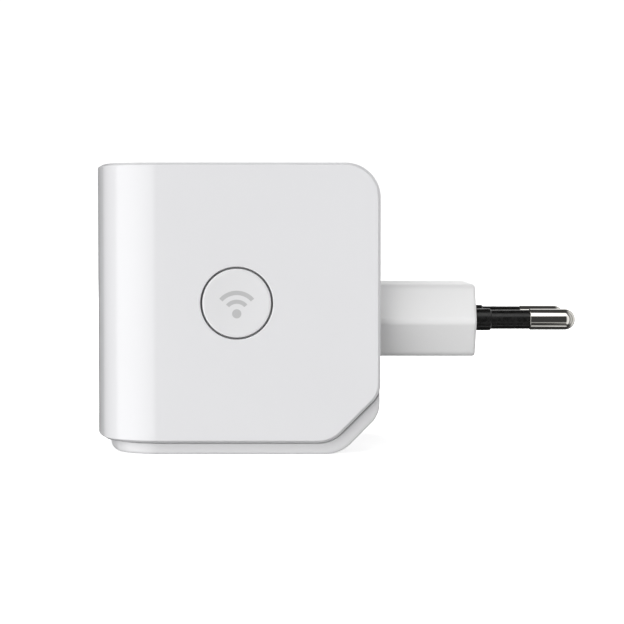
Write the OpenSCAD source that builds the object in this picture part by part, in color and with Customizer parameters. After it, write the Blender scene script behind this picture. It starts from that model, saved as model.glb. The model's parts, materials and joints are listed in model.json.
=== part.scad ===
// Plug-in wireless unit for a mains socket: a wrap-round cover over a rear housing,
// a two-pin plug block, a round side button, a power board and a main board.
// Frame: origin at the centre of the plug's engagement face, +X into the wall socket,
// +Z up, and the button on the -Y side. Millimetres.

/* [Case] */
// Thickness of the case, side to side
case_w = 49; // [46:0.5:60]
// Depth of the cover, front to rear edge
case_d = 54.2; // [53:0.1:68]
// Height of the cover
cover_h = 51.7; // [50:0.1:66]
// Height of the plug's axis above the cover's lower edge
plug_rise = 22.2; // [21.5:0.1:26]
// Wall of the wrap cover
cover_wall = 2.2; // [1.6:0.1:3]
// Wall of the rear housing's sides, roof and floor
housing_wall = 1.6; // [1.2:0.1:2.2]
// Back wall of the rear housing
back_wall = 1.8; // [1.5:0.1:2.6]
// Gap between the cover and the housing inside it
fit_gap = 0.2; // [0.1:0.05:0.4]
// How far the housing's skirt hangs below the cover
skirt_drop = 2.3; // [1.5:0.1:4]
// How far the housing's roof lies below the cover's upper edge
roof_inset = 0.6; // [0.2:0.1:1.5]
// How far the housing's back stands forward of the cover's rear edge
back_inset = 0.1; // [0:0.05:0.5]

/* [Case outline] */
// Radius of the bowed front, seen from above
front_r = 60; // [50:1:90]
// Radius where the bowed front meets the sides
corner_r = 11; // [9:0.5:13]
// Radius of the cover's upper rear corner
top_corner_r = 6.5; // [4:0.5:9]
// Cut of the cover's lower rear corner
cover_chamfer = 9; // [7:0.5:11]
// Cut of the housing's lower rear corner
housing_chamfer = 7.3; // [5:0.1:9]
// Rounding at the rear end of the lower cut
chamfer_rear_r = 5; // [2:0.5:6]
// Rounding at the lower end of the lower cut
chamfer_low_r = 6; // [2:0.5:7]

/* [Plug] */
// Distance from the cover's rear edge to the plug's engagement face
plug_len = 18.3; // [16:0.1:24]
// Width of the plug block across its side ridges
plug_w = 35.3; // [33:0.1:37]
// Height of the plug block
plug_h = 13.7; // [13:0.1:15]
// Width of the plug block's flat top and bottom
plug_flat = 26.1; // [24:0.1:28]
// Wall of the plug block
plug_wall = 2.0; // [1.6:0.1:2.4]
// Spacing of the pins at the engagement face
pin_pitch = 18.6; // [18:0.1:19.2]
// Lean of each pin toward the other, in degrees
pin_lean = 1.66; // [0:0.01:2]
// Length of the pins beyond the engagement face
pin_len = 19.5; // [19:0.1:20]
// Diameter of the pins' bare ends
pin_d = 4.0; // [3.9:0.05:4.1]
// Where the insulating sleeve ends, from the engagement face
sleeve_len = 10.7; // [10:0.1:12]
// Diameter of the insulating sleeve
sleeve_d = 3.65; // [3.4:0.05:3.8]
// Diameter of the sleeve's thicker root
root_d = 4.2; // [4:0.05:4.4]
// Length of the sleeve's thicker root
root_len = 3.2; // [2:0.1:5]

/* [Button] */
// Diameter of the button's cap
button_d = 12.7; // [9:0.1:16]
// Gap between the cap and the hole in the cover
button_gap = 0.35; // [0.2:0.05:0.5]
// Distance of the button's axis from the cover's rear edge
button_setback = 26.5; // [25:0.5:30]
// Travel of the button
button_travel = 0.4; // [0.2:0.05:0.6]
// Depth of the hollow in the button's face
button_dish = 0.3; // [0:0.05:0.5]

/* [Boards] */
// Thickness of both circuit boards
board_t = 1.6; // [1:0.1:2]
// Distance from the back wall to the power board
power_standoff = 7.1; // [6:0.1:8]
// Height of the pairing switch's axis above the main board
switch_rise = 3.5; // [3:0.1:4]
// Gap between the boards and the housing's walls
board_gap = 0.3; // [0.2:0.05:0.6]
// Diameter of the light pipe
pipe_d = 3.0; // [2:0.1:4]
// Radial gap of the light pipe in its hole
pipe_gap = 0.1; // [0.05:0.05:0.2]

/* [Hidden] */
$fn = 64;
eps = 0.01;
touch_gap = 0.05;

// Planes of the case
rear_x = -plug_len;
front_x = rear_x - case_d;
cover_z0 = -plug_rise;
cover_z1 = cover_z0 + cover_h;
base_z = cover_z0 - skirt_drop;
roof_z = cover_z1 - roof_inset;
back_x = rear_x - back_inset;
back_in_x = back_x - back_wall;
floor_in_z = base_z + housing_wall;
roof_in_z = roof_z - housing_wall;
cover_y = case_w / 2;
cover_in_y = cover_y - cover_wall;
housing_inset = cover_wall + fit_gap;
housing_y = cover_y - housing_inset;
housing_in_y = housing_y - housing_wall;

// Plan of the bowed front: arc centres and the angle where the arcs meet
bow_x = front_x + front_r;
corner_y = cover_y - corner_r;
corner_x = bow_x - sqrt(pow(front_r - corner_r, 2) - pow(corner_y, 2));
corner_angle = asin(corner_y / (front_r - corner_r));

// Front lip of the housing, behind the cover's lower edge
lip_top_z = cover_z0 + 2;
wall_front_x = corner_x + 3;

// Button
button_x = rear_x - button_setback;
button_z = (cover_z0 + cover_z1) / 2;
cap_r = button_d / 2;
hole_r = cap_r + button_gap;
flange_r = hole_r + 0.85;
flange_t = 1.0;
flange_y = -cover_in_y + 0.1;
guide_in_r = flange_r + 0.2;
guide_out_r = guide_in_r + 0.8;
guide_y = -cover_in_y + touch_gap;
guide_depth = 4.7;
guide_floor_t = 1.0;
collar_gap = 0.05;
collar_out_r = guide_out_r + 1.2;
collar_h = 2.0;
stem_r = 2.0;
stem_gap = 0.2;
key_w = 2.0;
key_gap = 0.2;
key_r = guide_in_r + 0.3;
guide_end_y = guide_y + guide_depth;
slot_half = collar_out_r + 0.4;
spring_r = 3.9;
spring_wire = 0.45;
spring_turns = 2.75;

// Boards
power_rear_x = back_in_x - power_standoff;
power_front_x = power_rear_x - board_t;
main_rear_x = button_x - switch_rise;
main_front_x = main_rear_x - board_t;
board_y = housing_in_y - board_gap;
main_z0 = lip_top_z + board_gap;
main_z1 = roof_in_z - board_gap;
power_z0 = floor_in_z + 2.2;
power_z1 = roof_in_z - 1.5;
notch_y = guide_end_y + 0.8;
notch_half = guide_out_r + 0.6;

// Plug
plug_hole_gap = 0.15;
flange_thick = 2.5;
flange_in_x = back_in_x - flange_thick;
flange_margin = 2.2;
flange_half_y = min(plug_w / 2 + flange_margin, housing_in_y - 0.4);
boss_r = 2.5;
boss_gap = 0.1;
boss_y = plug_flat / 2 - 3.5;
boss_z = plug_h / 2 + boss_r + 0.9;
flange_half_z = boss_z + boss_r + 0.8;
end_wall = 2.2;
pin_y = pin_pitch / 2;
carrier_x = -6.25;
carrier_t = 2.95;
core_d = 2.9;
sleeve_bore_gap = 0.1;
root_flange_r = 3.0;
tail_side = 2.0;
tail_end = -17;

// Screws
pilot_d = 2.0;
shank_d = 1.9;
board_hole_y = board_y - 3.4;
board_hole_z0 = -(flange_half_z + boss_r + 0.4);
board_hole_z1 = roof_in_z - 7;

// Light
pipe_z = button_z + 15;

// ---------------------------------------------------------------- outlines

function unit(v) = v / norm(v);
function turned(v, a) = [v.x * cos(a) - v.y * sin(a), v.x * sin(a) + v.y * cos(a)];
function arc(c, r, a0, a1, n) =
    [for (i = [0:n]) c + r * [cos(a0 + (a1 - a0) * i / n), sin(a0 + (a1 - a0) * i / n)]];

// The points of one corner b, between a and c, rounded to radius b.z
function corner(a, b, c, n) =
    let (
        at = [b.x, b.y],
        u = unit([a.x, a.y] - at),
        v = unit([c.x, c.y] - at),
        half = acos(u * v) / 2,
        centre = at + unit(u + v) * b.z / sin(half),
        start = at + u * b.z / tan(half) - centre,
        turn = (180 - 2 * half) * sign(cross(v, u))
    )
    [for (k = [0:n]) centre + turned(start, turn * k / n)];

// An outline of [x, y, radius] points with each corner rounded
function rounded(p, n = 8) =
    [for (i = [0:len(p) - 1])
        each (p[i].z == 0
            ? [[p[i].x, p[i].y]]
            : corner(p[(i + len(p) - 1) % len(p)], p[i], p[(i + 1) % len(p)], n))];

// Outline of the case seen from above, set in by inset, with its rear end at x = end_x
function case_plan(inset, end_x) =
    concat(
        [[end_x, -(cover_y - inset)]],
        arc([corner_x, -corner_y], corner_r - inset, 270, 180 + corner_angle, 10),
        arc([bow_x, 0], front_r - inset, 180 + corner_angle, 180 - corner_angle, 10),
        arc([corner_x, corner_y], corner_r - inset, 180 - corner_angle, 90, 10),
        [[end_x, cover_y - inset]]
    );

// Side outline: square at the front, rounded above and cut below at the rear
function side_profile(x0, x1, z0, z1, top_r, cut, cut_rear_r, cut_low_r) =
    rounded([
        [x0, z0, 0],
        [x1 - cut, z0, cut_low_r],
        [x1, z0 + cut, cut_rear_r],
        [x1, z1, top_r],
        [x0, z1, 0]
    ]);

// Half width of the plug block's ridge and flat at an inset
function plug_outline(inset) =
    let (
        a = plug_flat / 2,
        b = plug_w / 2,
        h = plug_h / 2,
        slant = sqrt(pow(b - a, 2) + h * h),
        ridge = b - inset * slant / h,
        flat = ridge - (b - a) * (h - inset) / h
    )
    [
        [flat, h - inset], [ridge, 0], [flat, inset - h],
        [-flat, inset - h], [-ridge, 0], [-flat, h - inset]
    ];

// ---------------------------------------------------------------- placing

// A plan (x, y) drawn upward from z0 to z1
module tall(z0, z1) {
    translate([0, 0, z0]) linear_extrude(z1 - z0) children();
}

// A side outline (x, z) drawn across the whole width
module across(half) {
    rotate([90, 0, 0]) linear_extrude(2 * half, center = true) children();
}

// A cross section (y, z) drawn from x0 to x1
module along(x0, x1) {
    translate([x0, 0, 0]) rotate([90, 0, 90]) linear_extrude(x1 - x0) children();
}

// A cylinder along X from x0 to x1
module rod_x(r, x0, x1, y = 0, z = 0) {
    translate([x0, y, z]) rotate([0, 90, 0]) cylinder(r = r, h = x1 - x0);
}

// A cylinder along Y from y0 to y1 on the button's axis
module rod_y(r, y0, y1, x = button_x, z = button_z) {
    translate([x, y0, z]) rotate([-90, 0, 0]) cylinder(r = r, h = y1 - y0);
}

module box(x0, x1, y0, y1, z0, z1) {
    translate([x0, y0, z0]) cube([x1 - x0, y1 - y0, z1 - z0]);
}

// Board frames: a child's x runs up or down, its y across, and its z away from the board
module on_front(face_x, y, z) {
    translate([face_x, y, z]) rotate([0, -90, 0]) children();
}

module on_rear(face_x, y, z) {
    translate([face_x, y, z]) rotate([0, 90, 0]) children();
}

module slab(size, from = 0) {
    translate([-size.x / 2, -size.y / 2, from]) cube(size);
}

// A flat slot with round ends, w wide and len long overall, along Y
module slot_2d(w, len) {
    square([w, len - w], center = true);
    for (s = [-1, 1])
        translate([0, s * (len - w) / 2]) circle(d = w);
}

// A pan-head screw with a cross recess: head from 0 up, shank from 0 down
module screw(head_r, head_h, len) {
    difference() {
        union() {
            cylinder(r = head_r, h = head_h);
            translate([0, 0, -len]) cylinder(d = shank_d, h = len + eps);
        }
        for (a = [0, 90])
            rotate(a) translate([-head_r * 0.55, -0.25, head_h - 0.7]) cube([head_r * 1.1, 0.5, 1]);
    }
}

module on_both_sides() {
    children();
    mirror([0, 1, 0]) children();
}

module lean(side) {
    translate([0, side * pin_y, 0]) rotate([0, 0, -side * pin_lean]) children();
}

// ---------------------------------------------------------------- case

hook_x = rear_x - 6;
hook_w = 4.6;
hook_l = 2.0;
hook_gap = 0.3;
hook_z = [button_z + 14, button_z - 12];
rib_y = 16;
rib_t = 1.6;
rib_z0 = lip_top_z + 1;
rib_z1 = roof_in_z - 4;

module wrap_cover() {
    color("white") {
        difference() {
            intersection() {
                tall(cover_z0, cover_z1) polygon(case_plan(0, rear_x));
                across(cover_y + 1) polygon(side_profile(front_x - 1, rear_x, cover_z0, cover_z1,
                    top_corner_r, cover_chamfer, chamfer_rear_r, chamfer_low_r));
            }
            tall(cover_z0 - 1, cover_z1 + 1) polygon(case_plan(cover_wall, rear_x + 1));
            rod_y(hole_r, -cover_y - 1, -cover_in_y + 1);
            rod_x(pipe_d / 2 + pipe_gap, front_x - 1, front_x + cover_wall + 1, 0, pipe_z);
        }
        // Collar that the button's guide presses into
        difference() {
            rod_y(collar_out_r, -cover_in_y - 0.3, -cover_in_y + collar_h);
            rod_y(guide_out_r + collar_gap, -cover_in_y, -cover_in_y + collar_h + 1);
            rod_y(hole_r, -cover_y - 1, -cover_in_y + 1);
        }
        // Boss that holds the light pipe
        difference() {
            rod_x(pipe_d / 2 + 1.5, front_x + cover_wall - 0.5, front_x + cover_wall + 5, 0, pipe_z);
            rod_x(pipe_d / 2 + pipe_gap, front_x - 1, front_x + cover_wall + 6, 0, pipe_z);
        }
        // Ribs that hold the main board against its stops
        tall(rib_z0, rib_z1) intersection() {
            polygon(case_plan(cover_wall / 2, rear_x));
            for (s = [-1, 1])
                translate([front_x, s * rib_y - rib_t / 2])
                    square([main_front_x - touch_gap - front_x, rib_t]);
        }
        // Snap hooks
        on_both_sides() {
            for (z = hook_z)
                tall(z - hook_w / 2, z + hook_w / 2) polygon([
                    [hook_x - hook_l, cover_in_y + 0.3], [hook_x - hook_l, cover_in_y - 1.2],
                    [hook_x - 0.6, cover_in_y - 1.2], [hook_x, cover_in_y - 0.2],
                    [hook_x, cover_in_y + 0.3]
                ]);
        }
    }
}

vent_w = 1.6;
vent_len = 24;
vent_step = 3.4;
vent_x = [for (x = [wall_front_x : vent_step : back_in_x - 9]) x];
reset_y = 12;
reset_hole_d = 1.8;
reset_x = main_rear_x + 1.75;
stop_y = 16;
stop_w = 5;
stop_t = 1.5;

module housing_shell() {
    difference() {
        intersection() {
            tall(base_z, roof_z) polygon(case_plan(housing_inset, back_x));
            across(cover_y) polygon(side_profile(front_x, back_x, base_z, roof_z,
                top_corner_r - roof_inset, housing_chamfer, chamfer_rear_r, chamfer_low_r + 0.5));
        }
        intersection() {
            tall(floor_in_z, roof_in_z)
                polygon(case_plan(housing_inset + housing_wall, back_in_x));
            across(cover_y) polygon(side_profile(front_x, back_in_x, floor_in_z, roof_in_z,
                top_corner_r - roof_inset - housing_wall, housing_chamfer - back_wall / 2,
                chamfer_rear_r - housing_wall, chamfer_low_r + 0.5 - housing_wall));
        }
        // Open front, above the lip and below the roof
        box(front_x - 1, wall_front_x, -cover_y, cover_y, lip_top_z, roof_in_z);
        // The button's guide and collar pass this slot as the cover slides on
        box(front_x - 1, button_x + slot_half, -cover_y, -housing_in_y + 1,
            button_z - slot_half, button_z + slot_half);
        // Opening for the plug block
        along(back_in_x - 1, back_x + 1) polygon(plug_outline(-plug_hole_gap));
        // Windows for the cover's hooks
        for (z = hook_z)
            box(hook_x - hook_l - hook_gap, hook_x + hook_gap, -cover_y, cover_y,
                z - hook_w / 2 - hook_gap, z + hook_w / 2 + hook_gap);
        // Vents in the roof and the floor
        tall(base_z - 1, roof_z + 1) for (x = vent_x) translate([x, -1]) slot_2d(vent_w, vent_len);
        // Reset hole
        translate([reset_x, reset_y + 3, base_z - 1]) cylinder(d = reset_hole_d, h = housing_wall + 2);
    }
}

module rear_housing() {
    color("white") difference() {
        union() {
            housing_shell();
            // Bosses for the power board
            for (s = [-1, 1], z = [board_hole_z0, board_hole_z1])
                rod_x(boss_r, power_rear_x, back_in_x + 0.3, s * board_hole_y, z);
            // Bosses for the plug block's flange
            for (s = [-1, 1], t = [-1, 1])
                rod_x(boss_r, flange_in_x + boss_gap, back_in_x + 0.3, s * boss_y, t * boss_z);
            // Stops behind the main board
            on_both_sides() {
                box(main_rear_x + touch_gap, main_rear_x + stop_t, stop_y - stop_w / 2,
                    stop_y + stop_w / 2, roof_in_z - 2.5, roof_in_z + 0.3);
                box(main_rear_x + touch_gap, main_rear_x + stop_t, stop_y + 1,
                    stop_y + stop_w / 2, floor_in_z - 0.3, main_z0 + 2);
            }
        }
        for (s = [-1, 1], z = [board_hole_z0, board_hole_z1])
            rod_x(pilot_d / 2, power_rear_x - 1, back_in_x - 0.6, s * board_hole_y, z);
        for (s = [-1, 1], t = [-1, 1])
            rod_x(pilot_d / 2, flange_in_x - 1, back_x - 0.6, s * boss_y, t * boss_z);
    }
}

module rating_label() {
    color("gainsboro") along(back_x, back_x + 0.09)
        translate([0, (boss_z + roof_z) / 2 - 1])
            polygon(rounded([[-13, -4.5, 1], [13, -4.5, 1], [13, 4.5, 1], [-13, 4.5, 1]], 4));
}

// ---------------------------------------------------------------- plug

module plug_block() {
    color("white") difference() {
        union() {
            along(back_in_x - 0.3, 0) polygon(plug_outline(0));
            along(flange_in_x, back_in_x) polygon(rounded([
                [-flange_half_y, -flange_half_z, 2], [flange_half_y, -flange_half_z, 2],
                [flange_half_y, flange_half_z, 2], [-flange_half_y, flange_half_z, 2]], 4));
        }
        difference() {
            along(flange_in_x - 1, -end_wall) polygon(plug_outline(plug_wall));
            rod_x(boss_r, carrier_x + touch_gap, -end_wall + 1);
        }
        rod_x(pilot_d / 2, carrier_x - 1, -end_wall + 1);
        for (s = [-1, 1]) {
            lean(s) rod_x(root_d / 2 + sleeve_bore_gap, -end_wall - 1, 1);
            for (t = [-1, 1])
                rod_x(boss_r + boss_gap, flange_in_x - 1, back_in_x + eps, s * boss_y, t * boss_z);
        }
    }
}

module plug_screws() {
    color("silver") for (s = [-1, 1], t = [-1, 1])
        on_front(flange_in_x, s * boss_y, t * boss_z) screw(3.4, 1.5, 3.4);
}

module pin_carrier() {
    color("dimgray") difference() {
        along(carrier_x - carrier_t, carrier_x) polygon(plug_outline(plug_wall + 0.15));
        rod_x(shank_d / 2 + 0.2, carrier_x - carrier_t - 1, carrier_x + 1);
        for (s = [-1, 1])
            lean(s) rod_x(core_d / 2 + 0.1, carrier_x - carrier_t - 1, carrier_x + 1);
    }
}

module carrier_screw() {
    color("silver") on_front(carrier_x - carrier_t, 0, 0) screw(2.2, 1.5, 6);
}

module pin(side) {
    tip = pin_len - pin_d / 2;
    lean(side) {
        rotate([0, 90, 0]) rotate_extrude() polygon(concat(
            [[0, carrier_x - carrier_t - 1], [core_d / 2, carrier_x - carrier_t - 1],
             [core_d / 2, sleeve_len], [pin_d / 2, sleeve_len]],
            arc([0, tip], pin_d / 2, 0, 90, 10)
        ));
        box(tail_end, carrier_x - carrier_t - 0.9, -tail_side / 2, tail_side / 2,
            -tail_side / 2, tail_side / 2);
    }
}

module live_pin() {
    color("silver") pin(-1);
}

module neutral_pin() {
    color("silver") pin(1);
}

module sleeve(side) {
    lean(side) rotate([0, 90, 0]) difference() {
        union() {
            translate([0, 0, carrier_x + 0.15])
                cylinder(r = root_flange_r, h = -end_wall - 0.3 - carrier_x);
            translate([0, 0, carrier_x + 0.15]) cylinder(d = root_d, h = root_len - carrier_x - 0.15);
            cylinder(d = sleeve_d, h = sleeve_len - 0.02);
        }
        translate([0, 0, -20]) cylinder(d = core_d + 0.02, h = 40);
    }
}

module live_pin_sleeve() {
    color("black") sleeve(-1);
}

module neutral_pin_sleeve() {
    color("black") sleeve(1);
}

contact_t = 0.4;
contact_w = 3.6;

module mains_contact(side) {
    y = side * (pin_y + 0.35);
    box(power_rear_x, power_rear_x + contact_t, y - contact_w / 2, y + contact_w / 2,
        tail_side / 2 - 3, tail_side / 2 + contact_t);
    box(power_rear_x, tail_end + 4, y - contact_w / 2, y + contact_w / 2,
        tail_side / 2, tail_side / 2 + contact_t);
}

module mains_contact_live() {
    color("gold") mains_contact(-1);
}

module mains_contact_neutral() {
    color("gold") mains_contact(1);
}

// ---------------------------------------------------------------- button and light

module side_button() {
    edge = 0.5;
    rim = cap_r - edge;
    color("white") {
        translate([button_x, -cover_y, button_z]) rotate([-90, 0, 0]) rotate_extrude() polygon(concat(
            [for (i = [0:6]) [rim * i / 6, button_dish * (1 - pow(i / 6, 2))]],
            arc([rim, edge], edge, -75, 0, 5),
            [[cap_r, flange_y + cover_y], [flange_r, flange_y + cover_y],
             [flange_r, flange_y + cover_y + flange_t], [0, flange_y + cover_y + flange_t]]
        ));
        rod_y(stem_r, flange_y + flange_t - eps, plunger_y - touch_gap);
        // Key that stops the button turning
        box(button_x - key_w / 2, button_x + key_w / 2, flange_y, flange_y + flange_t,
            button_z - key_r, button_z - flange_r + 1);
    }
}

module button_guide() {
    color("whitesmoke") difference() {
        rod_y(guide_out_r, guide_y, guide_end_y);
        rod_y(guide_in_r, guide_y - 1, guide_end_y - guide_floor_t);
        rod_y(stem_r + stem_gap, guide_y, guide_end_y + 1);
        box(button_x - key_w / 2 - key_gap, button_x + key_w / 2 + key_gap, guide_y - 1,
            guide_end_y - guide_floor_t, button_z - key_r - key_gap, button_z - guide_in_r + 1);
    }
}

// One ring of a tube round a point p, for a path that runs in direction d
function ring(p, d, r, n) =
    let (u = unit(cross(d, [0, 0, 1])), v = cross(unit(d), u))
    [for (k = [0:n - 1]) p + r * (cos(360 * k / n) * u + sin(360 * k / n) * v)];

module coil(r, wire, height, turns) {
    sides = 8;
    steps = round(turns * 20);
    rise = height - wire;
    points = [for (i = [0:steps])
        let (a = 360 * turns * i / steps)
        each ring([r * cos(a), r * sin(a), wire / 2 + rise * i / steps],
            [-sin(a) * 2 * PI * r * turns, cos(a) * 2 * PI * r * turns, rise], wire / 2, sides)];
    walls = [for (i = [0:steps - 1], k = [0:sides - 1])
        let (j = (k + 1) % sides, b = i * sides)
        [b + k, b + k + sides, b + j + sides, b + j]];
    polyhedron(points, concat(
        [[for (k = [0:sides - 1]) k]],
        walls,
        [[for (k = [sides - 1:-1:0]) steps * sides + k]]
    ));
}

module button_spring() {
    room = guide_end_y - guide_floor_t - flange_y - flange_t;
    color("silver") translate([button_x, flange_y + flange_t + touch_gap, button_z])
        rotate([-90, 0, 0]) coil(spring_r, spring_wire, room - 2 * touch_gap, spring_turns);
}

module light_pipe() {
    color("white") {
        rod_x(pipe_d / 2, front_x, main_front_x - led_h - 0.3, 0, pipe_z);
        // Collar that stops the pipe at the cover's boss
        rod_x(pipe_d / 2 + 0.8, front_x + cover_wall + 5 + touch_gap,
            front_x + cover_wall + 6.2, 0, pipe_z);
    }
}

// ---------------------------------------------------------------- main board

header_y = 14;
header_z = main_z0 + 10;
header_pins = 4;
pin_step = 2.54;
header_pin = 0.64;

module main_board() {
    color("darkgreen") difference() {
        box(main_front_x, main_rear_x, -board_y, board_y, main_z0, main_z1);
        box(main_front_x - 1, main_rear_x + 1, -board_y - 1, notch_y,
            button_z - notch_half, button_z + notch_half);
        for (i = [0:header_pins - 1])
            rod_x(0.5, main_front_x - 1, main_rear_x + 1, header_y, header_z + i * pin_step);
    }
}

plunger_y = notch_y + 0.35;
plunger_r = 1.6;
plunger_len = 3.2;
switch_y = plunger_y + plunger_len;
switch_deep = 3.6;
switch_half = 3.0;
switch_gap = 0.06;

module pair_switch_body() {
    color("dimgray") difference() {
        box(main_rear_x, main_rear_x + 2 * switch_rise - 0.8, switch_y, switch_y + switch_deep,
            button_z - switch_half, button_z + switch_half);
        rod_y(plunger_r + switch_gap, switch_y - 1, switch_y + 1.6);
    }
}

module pair_switch_plunger() {
    color("black") rod_y(plunger_r, plunger_y, switch_y + 1);
}

reset_body_z = main_z0 + 2.6;
reset_plunger_r = 0.9;

module reset_switch_body() {
    color("dimgray") difference() {
        box(main_rear_x, main_rear_x + 3.5, reset_y + 0.5, reset_y + 5.5,
            reset_body_z, reset_body_z + 3.4);
        translate([reset_x, reset_y + 3, reset_body_z - 1])
            cylinder(r = reset_plunger_r + switch_gap, h = 2.2);
    }
}

module reset_switch_plunger() {
    color("black") translate([reset_x, reset_y + 3, reset_body_z - 1.3])
        cylinder(r = reset_plunger_r, h = 2.0);
}

shield_z = button_z - 5;
shield_w = 24;
shield_h = 2.6;
shield_t = 0.25;
lid_t = 0.2;
chip_h = 1.2;

module shield_frame() {
    color("silver") on_front(main_front_x, 0, shield_z) difference() {
        slab([shield_w, shield_w, shield_h]);
        slab([shield_w - 2 * shield_t, shield_w - 2 * shield_t, shield_h + 2], -1);
    }
}

module shield_lid() {
    color("silver") on_front(main_front_x + eps - shield_h, 0, shield_z)
        slab([shield_w - 0.5, shield_w - 0.5, lid_t], eps);
}

module wifi_chip() {
    color("black") on_front(main_front_x, 4, shield_z) slab([12, 12, chip_h]);
}

module thermal_pad() {
    color("lightblue") on_front(main_front_x, 4, shield_z) slab([12, 12, shield_h - chip_h], chip_h);
}

module heat_sink() {
    fins = 7;
    fin_t = 1.0;
    step = (shield_w - 4 - fin_t) / (fins - 1);
    color("gray") on_front(main_front_x - shield_h - lid_t, 0, shield_z) {
        slab([shield_w - 4, shield_w - 4, 1.5]);
        for (i = [0:fins - 1])
            translate([0, (i - (fins - 1) / 2) * step, 0]) slab([shield_w - 4, fin_t, 7]);
    }
}

module memory_chips() {
    color("black") for (v = [-5, 5])
        on_front(main_front_x, -6.5, shield_z + v) slab([8, 6, 1.0]);
}

module clock_crystal() {
    color("silver") on_front(main_front_x, -6.5, shield_z) slab([1.6, 3.2, 0.8]);
}

// A slotted antenna plate that stands on the board along one edge
antenna_half = 6.5;
antenna_deep = 11;

module antenna(side, z) {
    y = side * (board_y - 1.6);
    x0 = main_front_x - antenna_deep;
    difference() {
        box(x0, main_front_x, y - 0.4, y + 0.4, z - antenna_half, z + antenna_half);
        for (k = [-1, 1])
            box(x0 + 2, main_front_x - 2, y - 1, y + 1, z + k * 3 - 0.8, z + k * 3 + 0.8);
    }
}

module antenna_left() {
    color("goldenrod") antenna(1, shield_z + 6);
}

// The right one stands below the button's guide
module antenna_right() {
    color("goldenrod") antenna(-1, button_z - notch_half - antenna_half - 0.4);
}

led_h = 1.1;

module status_led() {
    color("lightyellow") on_front(main_front_x, 0, pipe_z) {
        slab([1.6, 3.2, 0.5]);
        slab([1.4, 2.0, led_h]);
    }
}

module main_board_passives() {
    color("tan") {
        for (i = [0:7])
            on_front(main_front_x, -10.5 + i * 3, shield_z - shield_w / 2 - 2.2) slab([0.8, 1.6, 0.6]);
        for (i = [0:5])
            on_rear(main_rear_x, -9 + i * 3, shield_z + 15) slab([0.8, 1.6, 0.6]);
        for (i = [0:4])
            on_rear(main_rear_x, 4 + i * 2.4, button_z) slab([1.6, 0.8, 0.6]);
    }
}

module power_inductors() {
    color("dimgray") for (i = [0:1])
        on_rear(main_rear_x, -12 + i * 8, main_z0 + 5) slab([4.2, 4.2, 2.2]);
}

// Long pins on the main board reach into the socket on the power board
socket_h = 8.5;

module board_header() {
    color("black") on_rear(main_rear_x, header_y, header_z + (header_pins - 1) * pin_step / 2)
        slab([header_pins * pin_step, 2.4, 2.4]);
    color("gold") for (i = [0:header_pins - 1])
        box(main_front_x - 1, power_front_x - socket_h + 5, header_y - header_pin / 2,
            header_y + header_pin / 2, header_z + i * pin_step - header_pin / 2,
            header_z + i * pin_step + header_pin / 2);
}

module board_socket() {
    color("black") difference() {
        on_front(power_front_x, header_y, header_z + (header_pins - 1) * pin_step / 2)
            slab([header_pins * pin_step, 2.5, socket_h]);
        for (i = [0:header_pins - 1])
            box(power_front_x - socket_h - 1, power_front_x - socket_h + 6, header_y - 0.4,
                header_y + 0.4, header_z + i * pin_step - 0.4, header_z + i * pin_step + 0.4);
    }
}

// ---------------------------------------------------------------- power board

module power_board() {
    color("tan") difference() {
        box(power_front_x, power_rear_x, -board_y, board_y, power_z0, power_z1);
        for (s = [-1, 1], z = [board_hole_z0, board_hole_z1])
            rod_x(shank_d / 2 + 0.2, power_front_x - 1, power_rear_x + 1, s * board_hole_y, z);
    }
}

module board_screws() {
    color("silver") for (s = [-1, 1], z = [board_hole_z0, board_hole_z1])
        on_front(power_front_x, s * board_hole_y, z) screw(2.2, 1.5, 6.5);
}

// Transformer: a core of two E halves, with the coil's axis away from the board
core_w = 13;
core_deep = 5.9;
core_h = 10.2;
core_leg = 3.6;
core_yoke = 1.6;
core_window = 2.9;
transformer_y = 6.5;
transformer_z = button_z + 3.5;
core_gap = 0.08;

module at_transformer() {
    on_front(power_front_x, transformer_y, transformer_z) children();
}

module transformer_core() {
    color("dimgray") at_transformer() difference() {
        slab([core_deep, core_w, core_h], core_yoke);
        for (s = [-1, 1])
            translate([0, s * (core_leg + core_window) / 2, 0])
                slab([core_deep + 2, core_window, core_h - 2 * core_yoke], 2 * core_yoke);
    }
}

module transformer_bobbin() {
    reach = core_leg + 2 * core_window - 0.2;
    inner = [core_deep + 2 * core_gap, core_leg + 2 * core_gap];
    color("cornsilk") at_transformer() difference() {
        union() {
            slab([inner.x + 0.8, inner.y + 0.8, core_h - 2 * core_yoke - 0.1], 2 * core_yoke + 0.05);
            for (h = [2 * core_yoke + 0.05, core_h - 0.45])
                slab([12.6, reach, 0.4], h);
            for (s = [-1, 1])
                translate([s * (core_deep / 2 + 2), 0, 0]) slab([3.7, 12, 2 * core_yoke + 0.1]);
        }
        slab([inner.x, inner.y, core_h + 2], 0);
    }
}

module transformer_winding() {
    inner = [core_deep + 2 * core_gap + 0.8, core_leg + 2 * core_gap + 0.8];
    outer = [12.2, core_leg + 2 * core_window - 0.6];
    low = 2 * core_yoke + 0.5;
    tall_by = core_h - 0.5 - low;
    color("gold") at_transformer() difference() {
        translate([0, 0, low]) linear_extrude(tall_by) polygon(rounded([
            [-outer.x / 2, -outer.y / 2, 1.5], [outer.x / 2, -outer.y / 2, 1.5],
            [outer.x / 2, outer.y / 2, 1.5], [-outer.x / 2, outer.y / 2, 1.5]], 5));
        slab([inner.x + 0.02, inner.y + 0.02, tall_by + 2], low - 1);
    }
}

// A can with a pinched neck near its base
module can(r, h) {
    rotate_extrude() polygon([
        [0, 0], [r - 0.3, 0], [r, 0.3], [r, 1.0], [r - 0.35, 1.4], [r, 1.8],
        [r, h - 0.4], [r - 0.4, h], [0, h]
    ]);
}

module input_capacitors() {
    color("midnightblue") for (v = [9, -1])
        on_front(power_front_x, -11.6, button_z + v) can(4, 11.5);
}

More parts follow.
